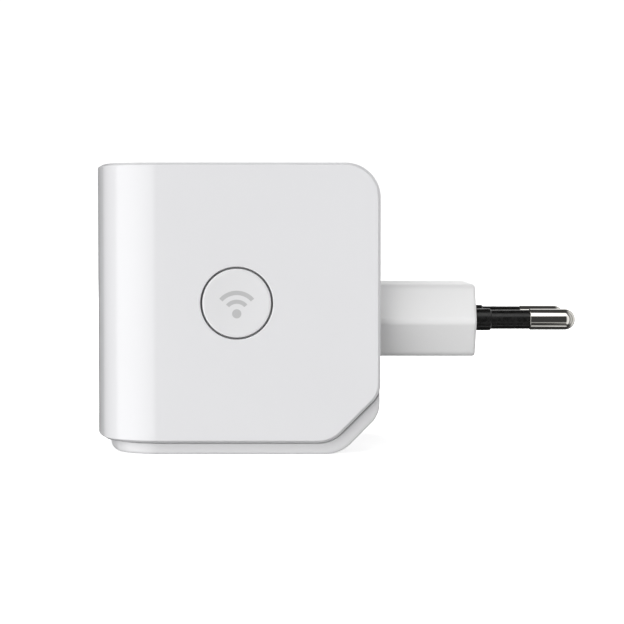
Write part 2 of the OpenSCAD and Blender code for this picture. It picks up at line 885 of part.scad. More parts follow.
module output_capacitors() {
    color("midnightblue") for (w = [-1, 1])
        on_front(power_front_x, w * 4.2, power_z1 - 5) can(3.15, 9);
}

fuse_y = -14.2;
fuse_z = board_hole_z0 + 4;
fuse_len = 10;
fuse_cap = 2.2;

module mains_fuse() {
    color("silver") {
        translate([power_front_x - 2.2, fuse_y, fuse_z]) rotate([-90, 0, 0]) {
            for (v = [0, fuse_len - fuse_cap])
                translate([0, 0, v]) cylinder(r = 1.8, h = fuse_cap);
            cylinder(r = 1.6, h = fuse_len);
        }
        for (w = [1, fuse_len - 1])
            on_front(power_front_x, fuse_y + w, fuse_z) slab([2, 0.6, 0.7]);
    }
}

module bridge_rectifier() {
    color("black") on_front(power_front_x, -11, button_z - 9.2) slab([4.8, 6.4, 2.6]);
}

module line_choke() {
    color("sienna") on_front(power_front_x, 4, button_z - 12.5) {
        cylinder(r = 4, h = 1.0);
        translate([0, 0, 1]) cylinder(r = 3.4, h = 6.4);
        translate([0, 0, 7.4]) cylinder(r = 4, h = 1.0);
    }
}

// A dipped disc that stands on the board on its edge
module disc(r, t) {
    translate([0, -t / 2, r + 1]) rotate([-90, 0, 0]) cylinder(r = r, h = t);
    for (s = [-1, 1])
        translate([s * r * 0.5, 0, 0]) cylinder(r = 0.3, h = r * 0.6);
}

module y_capacitor() {
    color("cornflowerblue") on_front(power_front_x, -3.6, button_z) disc(3.2, 2.6);
}

module surge_varistor() {
    color("orange") on_front(power_front_x, -2.2, button_z - 12.5) disc(3.6, 2.8);
}

module optocoupler() {
    color("black") on_front(power_front_x, -4, button_z + 9) slab([4.6, 6.2, 3.2]);
}

module controller_chip() {
    color("black") on_rear(power_rear_x, 5, board_hole_z1) slab([4, 5, 1.5]);
}

module output_diode() {
    color("black") on_rear(power_rear_x, -5, board_hole_z1) slab([2.6, 4.4, 2.1]);
}

module power_board_passives() {
    color("tan") {
        for (i = [0:5])
            on_rear(power_rear_x, -10 + i * 4, board_hole_z1 - 4) slab([1.2, 2, 0.6]);
        for (i = [0:3])
            on_rear(power_rear_x, -9 + i * 6, power_z0 + 5) slab([1.2, 2, 0.6]);
    }
}

module insulation_sheet() {
    top = power_front_x - core_yoke - core_h;
    header_half = header_pins * pin_step / 2 + 1.2;
    header_mid = header_z + (header_pins - 1) * pin_step / 2;
    color("linen") difference() {
        box(top - 0.3, top, -board_y, board_y, main_z0, main_z1 - 1);
        box(top - 1, top + 1, -board_y - 1, notch_y, button_z - notch_half, button_z + notch_half);
        box(top - 1, top + 1, header_y - 2.6, header_y + 2.6, header_mid - header_half,
            header_mid + header_half);
    }
}

// ---------------------------------------------------------------- assembly

wrap_cover();
rear_housing();
plug_block();
plug_screws();
pin_carrier();
carrier_screw();
live_pin();
neutral_pin();
live_pin_sleeve();
neutral_pin_sleeve();
mains_contact_live();
mains_contact_neutral();
side_button();
button_guide();
button_spring();
light_pipe();
rating_label();
main_board();
pair_switch_body();
pair_switch_plunger();
reset_switch_body();
reset_switch_plunger();
shield_frame();
shield_lid();
wifi_chip();
thermal_pad();
heat_sink();
memory_chips();
clock_crystal();
antenna_left();
antenna_right();
status_led();
main_board_passives();
power_inductors();
board_header();
board_socket();
power_board();
board_screws();
transformer_core();
transformer_bobbin();
transformer_winding();
input_capacitors();
output_capacitors();
mains_fuse();
bridge_rectifier();
line_choke();
y_capacitor();
surge_varistor();
optocoupler();
controller_chip();
output_diode();
power_board_passives();
insulation_sheet();
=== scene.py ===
"""The looks of the plug-in mains unit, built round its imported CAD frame.

Everything is in metres in the CAD's own frame: the plug's face is at x = 0, the pins point
along +X, and the button is on the -Y side, where the camera stands.
"""

import json
import math

import bmesh
import bpy
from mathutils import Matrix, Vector
from mathutils.geometry import tessellate_polygon


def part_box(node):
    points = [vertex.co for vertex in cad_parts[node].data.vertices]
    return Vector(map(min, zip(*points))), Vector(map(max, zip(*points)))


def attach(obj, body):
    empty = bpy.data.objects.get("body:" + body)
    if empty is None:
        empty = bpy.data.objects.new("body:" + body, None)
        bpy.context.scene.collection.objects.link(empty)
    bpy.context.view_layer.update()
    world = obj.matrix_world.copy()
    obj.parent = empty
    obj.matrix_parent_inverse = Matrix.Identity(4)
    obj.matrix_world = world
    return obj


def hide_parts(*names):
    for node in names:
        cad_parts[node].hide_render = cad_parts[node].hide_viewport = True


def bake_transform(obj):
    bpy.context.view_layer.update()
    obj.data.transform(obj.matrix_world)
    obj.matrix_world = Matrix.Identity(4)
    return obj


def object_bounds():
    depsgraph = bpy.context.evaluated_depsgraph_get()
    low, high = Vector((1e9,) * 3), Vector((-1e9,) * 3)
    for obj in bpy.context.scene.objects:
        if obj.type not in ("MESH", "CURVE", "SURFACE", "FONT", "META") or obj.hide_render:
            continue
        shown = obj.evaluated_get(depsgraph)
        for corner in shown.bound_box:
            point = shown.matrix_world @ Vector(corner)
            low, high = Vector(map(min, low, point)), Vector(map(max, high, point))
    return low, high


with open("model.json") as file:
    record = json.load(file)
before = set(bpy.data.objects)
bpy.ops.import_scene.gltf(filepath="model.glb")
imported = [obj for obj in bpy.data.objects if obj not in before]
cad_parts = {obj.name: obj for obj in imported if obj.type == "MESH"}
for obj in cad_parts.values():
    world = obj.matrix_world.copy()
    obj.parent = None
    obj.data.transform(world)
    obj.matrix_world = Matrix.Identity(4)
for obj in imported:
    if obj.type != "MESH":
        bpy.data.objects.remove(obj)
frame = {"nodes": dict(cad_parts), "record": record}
cad_lo, cad_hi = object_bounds()

MM = 0.001

# Case, as in the CAD model
FRONT_R = 60 * MM
CORNER_R = 11 * MM
TOP_R = 6.5 * MM
COVER_CUT = 9 * MM
HOUSING_CUT = 7.3 * MM
CUT_REAR_R = 5 * MM
CUT_LOW_R = 6 * MM
COVER_WALL = 2.2 * MM
HOUSING_WALL = 1.6 * MM
HOOK_GAP = 0.2 * MM

# Edge roundings that the moulded parts have
RIM_WIDTH = 0.6 * MM      # the cover's rim slopes back over this width
RIM_TURN = math.radians(61)
RIM_ROUND = 0.25 * MM
INNER_EDGE = 0.2 * MM
HOUSING_EDGE = 0.5 * MM
HOLE_EDGE = 0.18 * MM
PLUG_EDGE = 0.6 * MM

# Plug
PIN_LEAN = math.radians(1.66)
PIN_Y = 9.3 * MM
PIN_R = 2.0 * MM
PIN_LEN = 19.5 * MM
SLEEVE_R = 1.825 * MM
ROOT_R = 2.1 * MM
ROOT_LEN = 3.2 * MM
SLEEVE_LEN = 10.7 * MM
PLUG_FLAT = 13.05 * MM
PLUG_HALF_W = 17.65 * MM
PLUG_HALF_H = 6.85 * MM

# Button
BUTTON_DISH = 0.1 * MM


# ---------------------------------------------------------------- mesh helpers

def add_object(name, verts, faces, normals=None):
    """A mesh object from lists, with its own normals where they are given."""
    mesh = bpy.data.meshes.new(name)
    mesh.from_pydata([tuple(v) for v in verts], [], faces)
    mesh.validate()
    mesh.update()
    mesh.shade_smooth()
    if normals:
        mesh.normals_split_custom_set_from_vertices([tuple(n) for n in normals])
    piece = bpy.data.objects.new(name, mesh)
    bpy.context.scene.collection.objects.link(piece)
    return piece


def turn_outward(piece):
    """Makes the faces of a closed mesh point outward."""
    bm = bmesh.new()
    bm.from_mesh(piece.data)
    bmesh.ops.recalc_face_normals(bm, faces=bm.faces)
    bm.to_mesh(piece.data)
    bm.free()


def carve(piece, cutter):
    """Cuts a closed solid out of a piece, then removes the cutter."""
    cut = piece.modifiers.new("cut", "BOOLEAN")
    cut.operation = "DIFFERENCE"
    cut.solver = "EXACT"
    cut.object = cutter
    graph = bpy.context.evaluated_depsgraph_get()
    old = piece.data
    piece.data = bpy.data.meshes.new_from_object(piece.evaluated_get(graph))
    piece.modifiers.clear()
    piece.data.name = piece.name
    bpy.data.meshes.remove(old)
    bpy.data.objects.remove(cutter)


def settle_shading(piece, angle=32):
    """Merges coplanar faces, then shades smoothly with flat faces kept flat."""
    bm = bmesh.new()
    bm.from_mesh(piece.data)
    bmesh.ops.remove_doubles(bm, verts=bm.verts, dist=1e-7)
    bmesh.ops.dissolve_limit(bm, angle_limit=math.radians(0.5), verts=bm.verts, edges=bm.edges)
    bm.to_mesh(piece.data)
    bm.free()
    piece.data.shade_smooth()
    piece.data.set_sharp_from_angle(angle=math.radians(angle))
    weigh = piece.modifiers.new("weigh", "WEIGHTED_NORMAL")
    weigh.keep_sharp = True
    weigh.weight = 100


def box_solid(name, lo, hi):
    """A closed box, used as a cutter."""
    verts = [(x, y, z) for x in (lo[0], hi[0]) for y in (lo[1], hi[1]) for z in (lo[2], hi[2])]
    faces = [(0, 1, 3, 2), (4, 6, 7, 5), (0, 4, 5, 1), (2, 3, 7, 6), (0, 2, 6, 4), (1, 5, 7, 3)]
    piece = add_object(name, verts, faces)
    turn_outward(piece)
    return piece


def extruded(name, outline, place, near, far):
    """A closed prism: place(u, v, w) maps an outline point at depth w to a point in space."""
    n = len(outline)
    verts = [place(u, v, w) for w in (near, far) for u, v in outline]
    faces = [tuple(range(n)), tuple(range(2 * n - 1, n - 1, -1))]
    faces += [(i, i + n, (i + 1) % n + n, (i + 1) % n) for i in range(n)]
    piece = add_object(name, verts, faces)
    turn_outward(piece)
    return piece


def circle_points(cu, cv, r, n):
    return [(cu + r * math.cos(2 * math.pi * i / n), cv + r * math.sin(2 * math.pi * i / n))
            for i in range(n)]


def slot_points(cu, cv, width, length, n=10):
    """A slot with round ends that runs along v."""
    r = width / 2
    reach = length / 2 - r
    ends = []
    for sign, start in ((1, 0), (-1, math.pi)):
        for i in range(n + 1):
            a = start + math.pi * i / n
            ends.append((cu + r * math.cos(a), cv + sign * reach + r * math.sin(a)))
    return ends


def quarter(steps):
    """Angles from 0 to 90 degrees."""
    return [math.pi / 2 * i / steps for i in range(steps + 1)]


# ---------------------------------------------------------------- the case's outline

class Plan:
    """The case seen from above: a bowed front, two rounded corners and straight sides.

    Places on it are given by the distance along the outline from the middle of the front
    (negative toward -Y) and the depth below the cover's surface.
    """

    def __init__(self, lo, hi):
        self.rear_x, self.half = hi.x, hi.y
        self.bow_x = lo.x + FRONT_R
        self.corner_y = self.half - CORNER_R
        inner = FRONT_R - CORNER_R
        self.angle = math.asin(self.corner_y / inner)
        self.corner_x = self.bow_x - inner * math.cos(self.angle)
        self.bow_end = FRONT_R * self.angle
        self.corner_end = self.bow_end + CORNER_R * (math.pi / 2 - self.angle)
        self.end = self.corner_end + self.rear_x - self.corner_x

    def at(self, s, depth=0.0):
        """The point (x, y), the outward normal and the rearward tangent."""
        side = 1 if s >= 0 else -1
        d = abs(s)
        if d <= self.bow_end:
            a = d / FRONT_R
            x, y = self.bow_x, 0
            r = FRONT_R - depth
        elif d <= self.corner_end:
            a = self.angle + (d - self.bow_end) / CORNER_R
            x, y = self.corner_x, self.corner_y
            r = CORNER_R - depth
        else:
            a = math.pi / 2
            x, y = self.corner_x + d - self.corner_end, self.corner_y
            r = CORNER_R - depth
        nx, ny = -math.cos(a), math.sin(a)
        point = Vector((x + r * nx, side * (y + r * ny), 0))
        normal = Vector((nx, side * ny, 0))
        tangent = Vector((math.sin(a), side * math.cos(a), 0))
        return point, normal, tangent


def rim_columns(plan, z0, z1, end, top_r, cut, rear_r, low_r, marks, bow=14, corner=26, arc=9):
    """The side outline as matched upper and lower rim points, from the front's middle to the rear.

    Each point is (s, z, outward s, outward z). marks are extra places on the bow.
    """
    s_list = [0.0] + list(marks)
    s_list += [marks[-1] + (plan.bow_end - marks[-1]) * i / bow for i in range(1, bow + 1)]
    s_list += [plan.bow_end + (plan.corner_end - plan.bow_end) * i / corner
               for i in range(1, corner + 1)]
    upper = [(s, z1, 0.0, 1.0) for s in s_list]
    lower = [(s, z0, 0.0, -1.0) for s in s_list]
    tan = math.tan(math.pi / 8)
    for i in range(2 * arc + 1):
        a = math.pi / 2 * (1 - i / (2 * arc))
        upper.append((end - top_r + top_r * math.cos(a), z1 - top_r + top_r * math.sin(a),
                      math.cos(a), math.sin(a)))
    for i in range(arc + 1):
        a = -math.pi / 2 + math.pi / 4 * i / arc
        lower.append((end - cut - low_r * tan + low_r * math.cos(a),
                      z0 + low_r + low_r * math.sin(a), math.cos(a), math.sin(a)))
    for i in range(1, arc + 1):
        a = -math.pi / 4 + math.pi / 4 * i / arc
        lower.append((end - rear_r + rear_r * math.cos(a),
                      z0 + cut + rear_r * tan + rear_r * math.sin(a), math.cos(a), math.sin(a)))
    return upper, lower, len(s_list) - 1


class Shell:
    """Collects the vertices, normals and faces of a shell that follows the plan."""

    def __init__(self, plan):
        self.plan = plan
        self.verts, self.normals, self.faces = [], [], []

    def add(self, point, normal):
        self.verts.append(point)
        self.normals.append(normal)
        return len(self.verts) - 1

    def rim(self, column, inset, depth, turn):
        """A vertex inset from the rim point, at a depth, its normal turned toward the rim."""
        s, z, out_s, out_z = column
        side = 1 if s >= 0 else -1
        point, normal, tangent = self.plan.at(s - inset * out_s, depth)
        point.z = z - inset * out_z
        rimward = tangent * (out_s * side) + Vector((0, 0, out_z))
        return self.add(point, (normal * math.cos(turn) + rimward * math.sin(turn)).normalized())

    def quad(self, a, b, c, d):
        self.faces.append((a, b, c, d))

    def patch(self, loop, hole, flat):
        """Fills the area between a loop and a hole, both lists of vertex numbers."""
        both = list(loop) + list(hole)
        rings = [[Vector(flat(self.verts[i])) for i in loop],
                 [Vector(flat(self.verts[i])) for i in hole]]
        for tri in tessellate_polygon(rings):
            self.faces.append(tuple(both[k] for k in tri))


def rim_profile():
    """The cover's edge in section as (inset, depth, turn): a rounded brow, a steep slope
    outward to the rim, the rim itself and a small inner rounding."""
    turns = [RIM_TURN * i / 5 for i in range(6)]
    section = [(RIM_WIDTH - RIM_ROUND * math.sin(a), RIM_ROUND * (1 - math.cos(a)), a)
               for a in turns]
    reach, depth, _ = section[-1]
    rim_depth = depth + reach * math.tan(RIM_TURN)
    section += [(0.04 * MM, rim_depth - 0.04 * MM * math.tan(RIM_TURN), RIM_TURN),
                (0, rim_depth + 0.02 * MM, math.pi / 2)]
    section += [(INNER_EDGE * (1 - math.cos(a)),
                 COVER_WALL - INNER_EDGE * (1 - math.sin(a)), math.pi / 2 + a)
                for a in quarter(4)]
    return section


def mirrored(column):
    s, z, out_s, out_z = column
    return -s, z, -out_s, out_z


# ---------------------------------------------------------------- wrap cover

def wrap_cover():
    """The bowed front and both sides in one shell, with the button's and the light's holes."""
    lo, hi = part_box("wrap_cover")
    plan = Plan(lo, hi)
    pipe_lo, pipe_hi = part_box("light_pipe")
    pipe_z = (pipe_lo.z + pipe_hi.z) / 2
    button_lo, button_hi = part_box("button_guide")
    button_x = (button_lo.x + button_hi.x) / 2
    button_z = (button_lo.z + button_hi.z) / 2
    hole_r = 6.7 * MM
    pipe_hole_r = 1.6 * MM
    mark = 2.6 * MM
    upper, lower, last_curved = rim_columns(
        plan, lo.z, hi.z, plan.end, TOP_R, COVER_CUT, CUT_REAR_R, CUT_LOW_R, [mark])
    count = len(upper) - 1
    profile = rim_profile()
    shell = Shell(plan)
    top, low = {}, {}
    for i in range(-count, count + 1):
        up = upper[i] if i >= 0 else mirrored(upper[-i])
        down = lower[i] if i >= 0 else mirrored(lower[-i])
        top[i] = [shell.rim(up, o, d, t) for o, d, t in profile]
        low[i] = [shell.rim(down, o, d, t) for o, d, t in profile]
    rings = len(profile) - 1
    for i in range(-count, count):
        for k in range(rings):
            shell.quad(top[i][k], top[i][k + 1], top[i + 1][k + 1], top[i + 1][k])
            shell.quad(low[i][k], low[i + 1][k], low[i + 1][k + 1], low[i][k + 1])
    for i in (-count, count):
        for k in range(rings):
            shell.quad(top[i][k], low[i][k], low[i][k + 1], top[i][k + 1])

    def ring(su, sz, r, depth, inward, turn, n):
        """A ring of vertices round a hole centred at (su, sz) on the unrolled surface."""
        made = []
        for k in range(n):
            a = 2 * math.pi * k / n
            s = su + r * math.cos(a)
            point, normal, tangent = plan.at(s, depth)
            point.z = sz + r * math.sin(a)
            along = tangent if s >= 0 else -tangent
            hub = -(along * math.cos(a) + Vector((0, 0, math.sin(a))))
            n3 = normal * math.cos(turn) + hub * math.sin(turn)
            made.append(shell.add(point, n3 * (1 if not inward else 1)))
        return made

    def hole(su, sz, r, edge, n):
        """The rings of a hole from the outer surface to the inner one."""
        rings_made = [ring(su, sz, r + edge * (1 - math.sin(a)), edge * (1 - math.cos(a)),
                           False, a, n) for a in quarter(4)]
        rings_made.append(ring(su, sz, r, COVER_WALL, False, math.pi / 2, n))
        for a, b in zip(rings_made, rings_made[1:]):
            for k in range(n):
                shell.quad(a[k], a[(k + 1) % n], b[(k + 1) % n], b[k])
        return rings_made[0], rings_made[-1]

    # The button's hole is in the flat side at -Y, the light's hole in the middle of the bow
    s_button = -(plan.corner_end + button_x - plan.corner_x)
    outer_b, inner_b = hole(s_button, button_z, hole_r, HOLE_EDGE, 96)
    outer_p, inner_p = hole(0.0, pipe_z, pipe_hole_r, 0.12 * MM, 32)
    for level, ring_b, ring_p in ((0, outer_b, outer_p), (rings, inner_b, inner_p)):
        side = range(-last_curved, -count - 1, -1)
        loop = [top[i][level] for i in side] + [low[i][level] for i in reversed(side)]
        shell.patch(loop, ring_b, lambda p: (p.x, p.z, 0))
        span = range(-1, 2)
        loop = [top[i][level] for i in span] + [low[i][level] for i in reversed(span)]
        shell.patch(loop, ring_p, lambda p: (p.y, p.z, 0))
        for i in range(-last_curved, count):
            if i in (-1, 0):
                continue
            shell.quad(top[i][level], top[i + 1][level], low[i + 1][level], low[i][level])
    normals = shell.normals
    piece = add_object("wrap_cover_shell", shell.verts, shell.faces)
    turn_outward(piece)
    piece.data.shade_smooth()
    piece.data.normals_split_custom_set_from_vertices([tuple(n) for n in normals])
    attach(piece, "housing")
    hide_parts("wrap_cover")
    return piece


# ---------------------------------------------------------------- rear housing

def case_solid(name, plan, inset, z0, z1, end, radii, edge_out, edge_in):
    """A closed body inside the cover's plan: two bent sides joined straight across."""
    top_r, cut, rear_r, low_r = radii
    upper, lower, _ = rim_columns(plan, z0, z1, end, top_r, cut, rear_r, low_r, [2.6 * MM])
    count = len(upper) - 1
    profile = [(edge_out * (1 - math.sin(a)), inset + edge_in * (1 - math.cos(a)), a)
               for a in quarter(6)]
    shell = Shell(plan)
    top, low = {}, {}
    for i in range(-count, count + 1):
        up = upper[i] if i >= 0 else mirrored(upper[-i])
        down = lower[i] if i >= 0 else mirrored(lower[-i])
        top[i] = [shell.rim(up, o, d, t) for o, d, t in profile]
        low[i] = [shell.rim(down, o, d, t) for o, d, t in profile]
    for i in range(-count, count):
        for k in range(len(profile) - 1):
            shell.quad(top[i][k], top[i][k + 1], top[i + 1][k + 1], top[i + 1][k])
            shell.quad(low[i][k], low[i + 1][k], low[i + 1][k + 1], low[i][k + 1])
        shell.quad(top[i][0], top[i + 1][0], low[i + 1][0], low[i][0])
    last = len(profile) - 1
    for k in range(last):
        for i in (-count, count):
            shell.quad(top[i][k], low[i][k], low[i][k + 1], top[i][k + 1])
    for rows in (top, low):
        for i in range(count):
            if i == 0:
                shell.faces.append((rows[0][last], rows[1][last], rows[-1][last]))
            else:
                shell.quad(rows[i][last], rows[i + 1][last], rows[-i - 1][last], rows[-i][last])
    shell.quad(top[count][last], low[count][last], low[-count][last], top[-count][last])
    piece = add_object(name, shell.verts, shell.faces)
    turn_outward(piece)
    return piece


def hexagon(inset):
    """The plug block's cross section (y, z), set in by inset."""
    slant = math.hypot(PLUG_HALF_W - PLUG_FLAT, PLUG_HALF_H)
    ridge = PLUG_HALF_W - inset * slant / PLUG_HALF_H
    flat = ridge - (PLUG_HALF_W - PLUG_FLAT) * (PLUG_HALF_H - inset) / PLUG_HALF_H
    h = PLUG_HALF_H - inset
    return [(flat, h), (ridge, 0), (flat, -h), (-flat, -h), (-ridge, 0), (-flat, h)]


def rim_groove(plan, inset, cover_z):
    """Cutter for the sunk line that follows the cover's lower edge and its cut corner."""
    wide, deep = 0.3 * MM, 0.9 * MM
    radii = (MM, COVER_CUT + 0.6 * wide, CUT_REAR_R + wide, CUT_LOW_R + wide)
    cutter = case_solid("groove", plan, inset - 0.1 * MM, cover_z - wide, cover_z + 20 * MM,
                        plan.end + wide, radii, 0.01 * MM, 0.01 * MM)
    core_radii = (MM, COVER_CUT, CUT_REAR_R, CUT_LOW_R)
    carve(cutter, case_solid("groove_core", plan, inset + deep, cover_z - 3 * MM,
                             cover_z + 22 * MM, plan.end + 3 * MM, core_radii,
                             0.01 * MM, 0.01 * MM))
    # Above the cut corner the housing lies inside the cover, so the line ends there
    carve(cutter, box_solid("groove_end", (-1, -1, cover_z + COVER_CUT), (1, 1, 1)))
    return cutter


def rear_housing():
    """The tub behind the cover: back, roof and floor with vents, and the skirt."""
    lo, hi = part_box("rear_housing")
    cover_lo, cover_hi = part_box("wrap_cover")
    plan = Plan(cover_lo, cover_hi)
    inset = COVER_WALL + HOOK_GAP
    roof_drop = cover_hi.z - hi.z
    back = plan.end - (cover_hi.x - hi.x)
    radii = (TOP_R - roof_drop, HOUSING_CUT, CUT_REAR_R, CUT_LOW_R + 0.5 * MM)
    piece = case_solid("rear_housing_shell", plan, inset, lo.z, hi.z, back, radii,
                       SKIRT_EDGE, HOUSING_EDGE)
    inner_radii = tuple(r - 0.6 * HOUSING_WALL for r in radii)
    carve(piece, case_solid("cavity", plan, inset + HOUSING_WALL, lo.z + HOUSING_WALL,
                            hi.z - HOUSING_WALL, back - 1.8 * MM, inner_radii, 0.2 * MM, 0.2 * MM))
    lip_top = cover_lo.z + 2 * MM
    wide = plan.half
    wall_front = plan.corner_x + 3 * MM
    carve(piece, box_solid("front_opening", (lo.x - MM, -wide, lip_top),
                           (wall_front, wide, hi.z - HOUSING_WALL)))
    guide_lo, guide_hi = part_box("button_guide")
    room = 1.6 * MM
    carve(piece, box_solid("guide_slot", (lo.x - MM, -wide, guide_lo.z - room),
                           (guide_hi.x + room, lo.y + 2.5 * MM, guide_hi.z + room)))
    carve(piece, extruded("plug_opening", hexagon(-0.15 * MM), lambda y, z, x: (x, y, z),
                          hi.x - 4 * MM, hi.x + MM))
    x = wall_front
    while x <= hi.x - 10.8 * MM + 1e-6:
        outline = slot_points(x, -MM, 1.6 * MM, 24 * MM)
        carve(piece, extruded("vent", outline, lambda u, v, w: (u, v, w), lo.z - MM, hi.z + MM))
        x += 3.4 * MM
    reset_lo, reset_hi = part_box("reset_switch_plunger")
    reset = circle_points((reset_lo.x + reset_hi.x) / 2, (reset_lo.y + reset_hi.y) / 2,
                          0.9 * MM, 24)
    carve(piece, extruded("reset_hole", reset, lambda u, v, w: (u, v, w),
                          lo.z - MM, lo.z + 3 * MM))
    carve(piece, rim_groove(plan, inset, cover_lo.z))
    settle_shading(piece)
    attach(piece, "housing")
    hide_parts("rear_housing")
    return piece


SKIRT_EDGE = 0.9 * MM


# ---------------------------------------------------------------- plug

def rounded_hexagon(inset, flat_r, ridge_r, steps=7):
    """The hexagon with rounded corners: flat_r at the flats' ends, ridge_r at the ridges."""
    corners = hexagon(inset)
    n = len(corners)
    outline = []
    for i, here in enumerate(corners):
        radius = ridge_r if here[1] == 0 else flat_r
        at = Vector(here)
        u = (Vector(corners[i - 1]) - at).normalized()
        v = (Vector(corners[(i + 1) % n]) - at).normalized()
        half = u.angle(v) / 2
        centre = at + (u + v).normalized() * radius / math.sin(half)
        start = at + u * radius / math.tan(half) - centre
        turn = (math.pi - 2 * half) * (-1 if u.cross(v) > 0 else 1)
        for k in range(steps + 1):
            a = turn * k / steps
            outline.append((centre.x + start.x * math.cos(a) - start.y * math.sin(a),
                            centre.y + start.x * math.sin(a) + start.y * math.cos(a)))
    return outline


def plug_block():
    """The Europlug block: a hollow hexagonal prism with a rounded end."""
    lo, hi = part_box("plug_block")
    flange = 2.5 * MM
    flat_r, ridge_r = 2.4 * MM, 1.5 * MM
    sections = [(lo.x + flange / 2, 0.0)]
    sections += [(-PLUG_EDGE * (1 - math.sin(a)), PLUG_EDGE * (1 - math.cos(a)))
                 for a in quarter(8)]
    verts, faces = [], []
    for x, inset in sections:
        shrink = max(0.0, 1 - inset / (2 * PLUG_EDGE))
        verts += [(x, y, z) for y, z in rounded_hexagon(inset, flat_r * shrink, ridge_r * shrink)]
    n = len(verts) // len(sections)
    for i in range(len(sections) - 1):
        faces += [(i * n + k, i * n + (k + 1) % n, (i + 1) * n + (k + 1) % n, (i + 1) * n + k)
                  for k in range(n)]
    faces.append(tuple(range(n)))
    faces.append(tuple(range(len(verts) - n, len(verts))))
    piece = add_object("plug_block_body", verts, faces)
    turn_outward(piece)
    carve(piece, extruded("plug_hollow", hexagon(2.0 * MM), lambda y, z, x: (x, y, z),
                          lo.x - MM, -2.2 * MM))
    for side in (-1, 1):
        bore = [(r * math.cos(t), r * math.sin(t)) for r in (ROOT_R + 0.1 * MM,)
                for t in [2 * math.pi * k / 48 for k in range(48)]]
        carve(piece, extruded("pin_bore", bore, lambda u, v, w, s=side: lean(s, w, u, v),
                              -4 * MM, 1 * MM))
    settle_shading(piece, 25)
    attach(piece, "housing")
    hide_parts("plug_block")
    rim = [(-hi.y, lo.z), (hi.y, lo.z), (hi.y, hi.z), (-hi.y, hi.z)]
    plate = extruded("plug_block_flange", rim, lambda y, z, x: (x, y, z), lo.x, lo.x + flange)
    carve(plate, extruded("flange_hollow", hexagon(2.0 * MM), lambda y, z, x: (x, y, z),
                          lo.x - MM, lo.x + 2 * flange))
    screw_lo, screw_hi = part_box("plug_screws")
    for y in (screw_lo.y + 3.4 * MM, screw_hi.y - 3.4 * MM):
        for z in (screw_lo.z + 3.4 * MM, screw_hi.z - 3.4 * MM):
            carve(plate, extruded("boss_hole", circle_points(y, z, 2.6 * MM, 32),
                                  lambda u, v, w: (w, u, v), lo.x - MM, lo.x + 2 * flange))
    settle_shading(plate)
    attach(plate, "housing")
    return piece, plate


def lean(side, along, across, up):
    """A point given along a pin's own leaning axis."""
    c, s = math.cos(PIN_LEAN), math.sin(PIN_LEAN)
    x = along * c + side * across * s
    y = side * PIN_Y - side * along * s + across * c
    return x, y, up


def lathe(name, profile, place, n=64):
    """A closed turned solid: profile is (along, radius), and both ends are on the axis."""
    verts, rows = [], []
    for along, radius in profile:
        if radius == 0:
            verts.append(place(along, 0, 0))
            rows.append([len(verts) - 1] * n)
            continue
        first = len(verts)
        for k in range(n):
            a = 2 * math.pi * k / n
            verts.append(place(along, radius * math.cos(a), radius * math.sin(a)))
        rows.append(list(range(first, first + n)))
    faces = []
    for a, b in zip(rows, rows[1:]):
        for k in range(n):
            j = (k + 1) % n
            corners = [a[k], a[j], b[j], b[k]]
            faces.append(tuple(dict.fromkeys(corners)))
    piece = add_object(name, verts, faces)
    turn_outward(piece)
    return piece


def pins():
    """The two bare pin ends and their black sleeves, each on its leaning axis."""
    made = []
    bevel = 0.12 * MM
    for side, pin, sleeve in ((-1, "live_pin", "live_pin_sleeve"),
                              (1, "neutral_pin", "neutral_pin_sleeve")):
        def place(along, across, up, s=side):
            return lean(s, along, across, up)
        tip = PIN_LEN - PIN_R
        dome = [(tip + PIN_R * math.sin(a), PIN_R * math.cos(a)) for a in quarter(16)][1:-1]
        core = 1.45 * MM
        metal = lathe(pin + "_metal", [(-16 * MM, 0), (-16 * MM, 1.0 * MM), (-10 * MM, 1.0 * MM),
                                       (-10 * MM, core), (SLEEVE_LEN, core),
                                       (SLEEVE_LEN, PIN_R - bevel), (SLEEVE_LEN + bevel, PIN_R),
                                       (tip, PIN_R)] + dome + [(PIN_LEN, 0)], place)
        settle_lathe(metal)
        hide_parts(pin)
        jacket = lathe(sleeve + "_jacket", [
            (-6 * MM, core + 0.02 * MM), (-6 * MM, 3.0 * MM), (-2.5 * MM, 3.0 * MM),
            (-2.5 * MM, ROOT_R), (ROOT_LEN - bevel, ROOT_R), (ROOT_LEN, ROOT_R - bevel),
            (ROOT_LEN, SLEEVE_R + bevel), (ROOT_LEN + bevel, SLEEVE_R),
            (SLEEVE_LEN - 0.15 * MM, SLEEVE_R), (SLEEVE_LEN - 0.03 * MM, SLEEVE_R - bevel),
            (SLEEVE_LEN - 0.03 * MM, core + 0.02 * MM), (-6 * MM, core + 0.02 * MM)], place)
        settle_lathe(jacket)
        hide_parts(sleeve)
        for piece in (metal, jacket):
            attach(piece, "housing")
            made.append(piece)
    return made


def settle_lathe(piece):
    """Smooth turned surfaces with crisp shoulders."""
    bm = bmesh.new()
    bm.from_mesh(piece.data)
    bmesh.ops.remove_doubles(bm, verts=bm.verts, dist=1e-8)
    bm.to_mesh(piece.data)
    bm.free()
    piece.data.shade_smooth()
    piece.data.set_sharp_from_angle(angle=math.radians(30))


# ---------------------------------------------------------------- button and light

